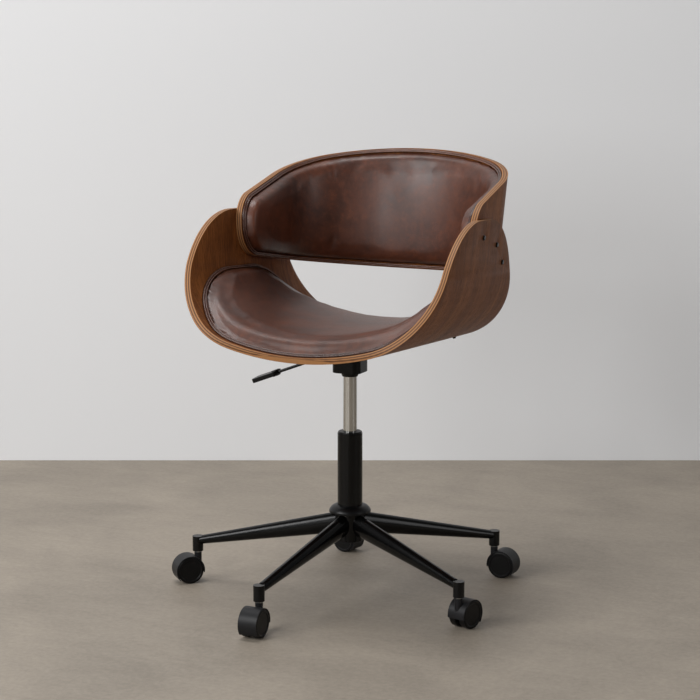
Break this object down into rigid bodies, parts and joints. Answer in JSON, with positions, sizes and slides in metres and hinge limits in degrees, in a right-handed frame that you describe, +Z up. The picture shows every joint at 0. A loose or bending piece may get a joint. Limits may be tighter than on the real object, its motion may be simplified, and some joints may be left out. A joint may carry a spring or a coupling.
{
  "type": "swivel desk chair",
  "caption": "Swivel desk chair with a bent plywood seat and arms, a curved padded back, leather pads, a gas lift with a height lever and a star base on casters",
  "frame": {"origin": "on the floor under the axis of the column", "axes": "+Z up, the sitter faces -Y, +X is the sitter's left"},
  "size_m": [0.6909, 0.7335, 0.8722],
  "materials": {
    "walnut_plywood": "satin lacquer, dark walnut veneer with paler plies at the edge",
    "brown_leather": "semi gloss, lightly mottled",
    "leather_welt": "semi gloss",
    "chrome": "polished",
    "black_metal": "satin powder coat",
    "black_plastic": "fine grain",
    "wheel_plastic": "smooth",
    "steel": "plain",
    "brass": "plain"
  },
  "bodies": {
    "base": {"base_hub": "black_metal", "hub_collar": "black_plastic", "base_leg_1": "black_metal", "base_leg_2": "black_metal", "base_leg_3": "black_metal", "base_leg_4": "black_metal", "base_leg_5": "black_metal", "leg_sockets": "black_metal", "grip_sleeves": "black_plastic", "caster_stems": "chrome", "column_tube": "black_metal", "guide_bush": "black_plastic", "column_foot": "steel", "lower_race": "steel", "bearing_balls": "steel"},
    "lift_rod": {"piston_rod": "steel", "piston": "steel", "upper_race": "steel", "rod_clip": "steel"},
    "seat": {"seat_shell": "walnut_plywood", "seat_pad": "brown_leather", "seat_welt": "leather_welt", "back_shell": "walnut_plywood", "back_pad": "brown_leather", "back_welt": "leather_welt", "arm_screws": "black_metal", "arm_inserts": "brass", "pad_screws": "black_metal", "mechanism_plate": "black_metal", "plate_spacers": "black_plastic", "seat_bolts": "black_metal", "seat_tee_nuts": "steel", "mechanism_housing": "black_metal", "taper_socket": "black_metal", "lever_pivot_pin": "steel", "gas_cylinder": "chrome", "cylinder_gland": "steel"},
    "lever": {"lever_rod": "black_metal", "lever_paddle": "black_plastic"},
    "valve": {"valve_pin": "steel"},
    "caster_1": {"caster_hood_1": "black_plastic", "caster_axle_1": "steel"},
    "wheel_left_1": {"caster_wheel_left_1": "wheel_plastic"},
    "wheel_right_1": {"caster_wheel_right_1": "wheel_plastic"},
    "caster_2": {"caster_hood_2": "black_plastic", "caster_axle_2": "steel"},
    "wheel_left_2": {"caster_wheel_left_2": "wheel_plastic"},
    "wheel_right_2": {"caster_wheel_right_2": "wheel_plastic"},
    "caster_3": {"caster_hood_3": "black_plastic", "caster_axle_3": "steel"},
    "wheel_left_3": {"caster_wheel_left_3": "wheel_plastic"},
    "wheel_right_3": {"caster_wheel_right_3": "wheel_plastic"},
    "caster_4": {"caster_hood_4": "black_plastic", "caster_axle_4": "steel"},
    "wheel_left_4": {"caster_wheel_left_4": "wheel_plastic"},
    "wheel_right_4": {"caster_wheel_right_4": "wheel_plastic"},
    "caster_5": {"caster_hood_5": "black_plastic", "caster_axle_5": "steel"},
    "wheel_left_5": {"caster_wheel_left_5": "wheel_plastic"},
    "wheel_right_5": {"caster_wheel_right_5": "wheel_plastic"}
  },
  "joints": [
    {"name": "swivel", "type": "hinge", "parent": "base", "child": "lift_rod", "pos_m": [0, 0, 0.13], "axis": [0, 0, 1], "continuous": true},
    {"name": "lift", "type": "slide", "parent": "lift_rod", "child": "seat", "axis": [0, 0, 1], "range_m": [-0.1, 0]},
    {"name": "lever", "type": "hinge", "parent": "seat", "child": "lever", "pos_m": [-0.022, 0, 0.4828], "axis": [0, 1, 0], "range_deg": [0, 8], "stiffness_Nm_per_rad": 2, "springref_deg": -17.19},
    {"name": "valve", "type": "slide", "parent": "seat", "child": "valve", "axis": [0, 0, -1], "range_m": [0, 0.004]},
    {"name": "caster_swivel_1", "type": "hinge", "parent": "base", "child": "caster_1", "pos_m": [-0.318, -0.05664, 0.05], "axis": [0, 0, 1], "continuous": true},
    {"name": "wheel_spin_left_1", "type": "hinge", "parent": "caster_1", "child": "wheel_left_1", "pos_m": [-0.32439, -0.07992, 0.0275], "axis": [0.7083, -0.7059, 0], "continuous": true},
    {"name": "wheel_spin_right_1", "type": "hinge", "parent": "caster_1", "child": "wheel_right_1", "pos_m": [-0.34125, -0.06312, 0.0275], "axis": [0.7083, -0.7059, 0], "continuous": true},
    {"name": "caster_swivel_2", "type": "hinge", "parent": "base", "child": "caster_2", "pos_m": [-0.04439, -0.31994, 0.05], "axis": [0, 0, 1], "continuous": true},
    {"name": "wheel_spin_left_2", "type": "hinge", "parent": "caster_2", "child": "wheel_left_2", "pos_m": [-0.03272, -0.34106, 0.0275], "axis": [0.9999, -0.0105, 0], "continuous": true},
    {"name": "wheel_spin_right_2", "type": "hinge", "parent": "caster_2", "child": "wheel_right_2", "pos_m": [-0.05651, -0.34081, 0.0275], "axis": [0.9999, -0.0105, 0], "continuous": true},
    {"name": "caster_swivel_3", "type": "hinge", "parent": "base", "child": "caster_3", "pos_m": [0.29056, -0.14109, 0.05], "axis": [0, 0, 1], "continuous": true},
    {"name": "wheel_spin_left_3", "type": "hinge", "parent": "caster_3", "child": "wheel_left_3", "pos_m": [0.28499, -0.1176, 0.0275], "axis": [-0.9603, 0.279, 0], "continuous": true},
    {"name": "wheel_spin_right_3", "type": "hinge", "parent": "caster_3", "child": "wheel_right_3", "pos_m": [0.30784, -0.12424, 0.0275], "axis": [-0.9603, 0.279, 0], "continuous": true},
    {"name": "caster_swivel_4", "type": "hinge", "parent": "base", "child": "caster_4", "pos_m": [0.22397, 0.23274, 0.05], "axis": [0, 0, 1], "continuous": true},
    {"name": "wheel_spin_left_4", "type": "hinge", "parent": "caster_4", "child": "wheel_left_4", "pos_m": [0.24537, 0.2439, 0.0275], "axis": [0.0349, 0.9994, 0], "continuous": true},
    {"name": "wheel_spin_right_4", "type": "hinge", "parent": "caster_4", "child": "wheel_right_4", "pos_m": [0.24454, 0.22011, 0.0275], "axis": [0.0349, 0.9994, 0], "continuous": true},
    {"name": "caster_swivel_5", "type": "hinge", "parent": "base", "child": "caster_5", "pos_m": [-0.15214, 0.28493, 0.05], "axis": [0, 0, 1], "continuous": true},
    {"name": "wheel_spin_left_5", "type": "hinge", "parent": "caster_5", "child": "wheel_left_5", "pos_m": [-0.12912, 0.2922, 0.0275], "axis": [0.2079, 0.9781, 0], "continuous": true},
    {"name": "wheel_spin_right_5", "type": "hinge", "parent": "caster_5", "child": "wheel_right_5", "pos_m": [-0.13407, 0.26892, 0.0275], "axis": [0.2079, 0.9781, 0], "continuous": true}
  ],
  "couplings": [
    {"joint": "valve", "follows": "lever", "m_per_rad": 0.0225}
  ]
}
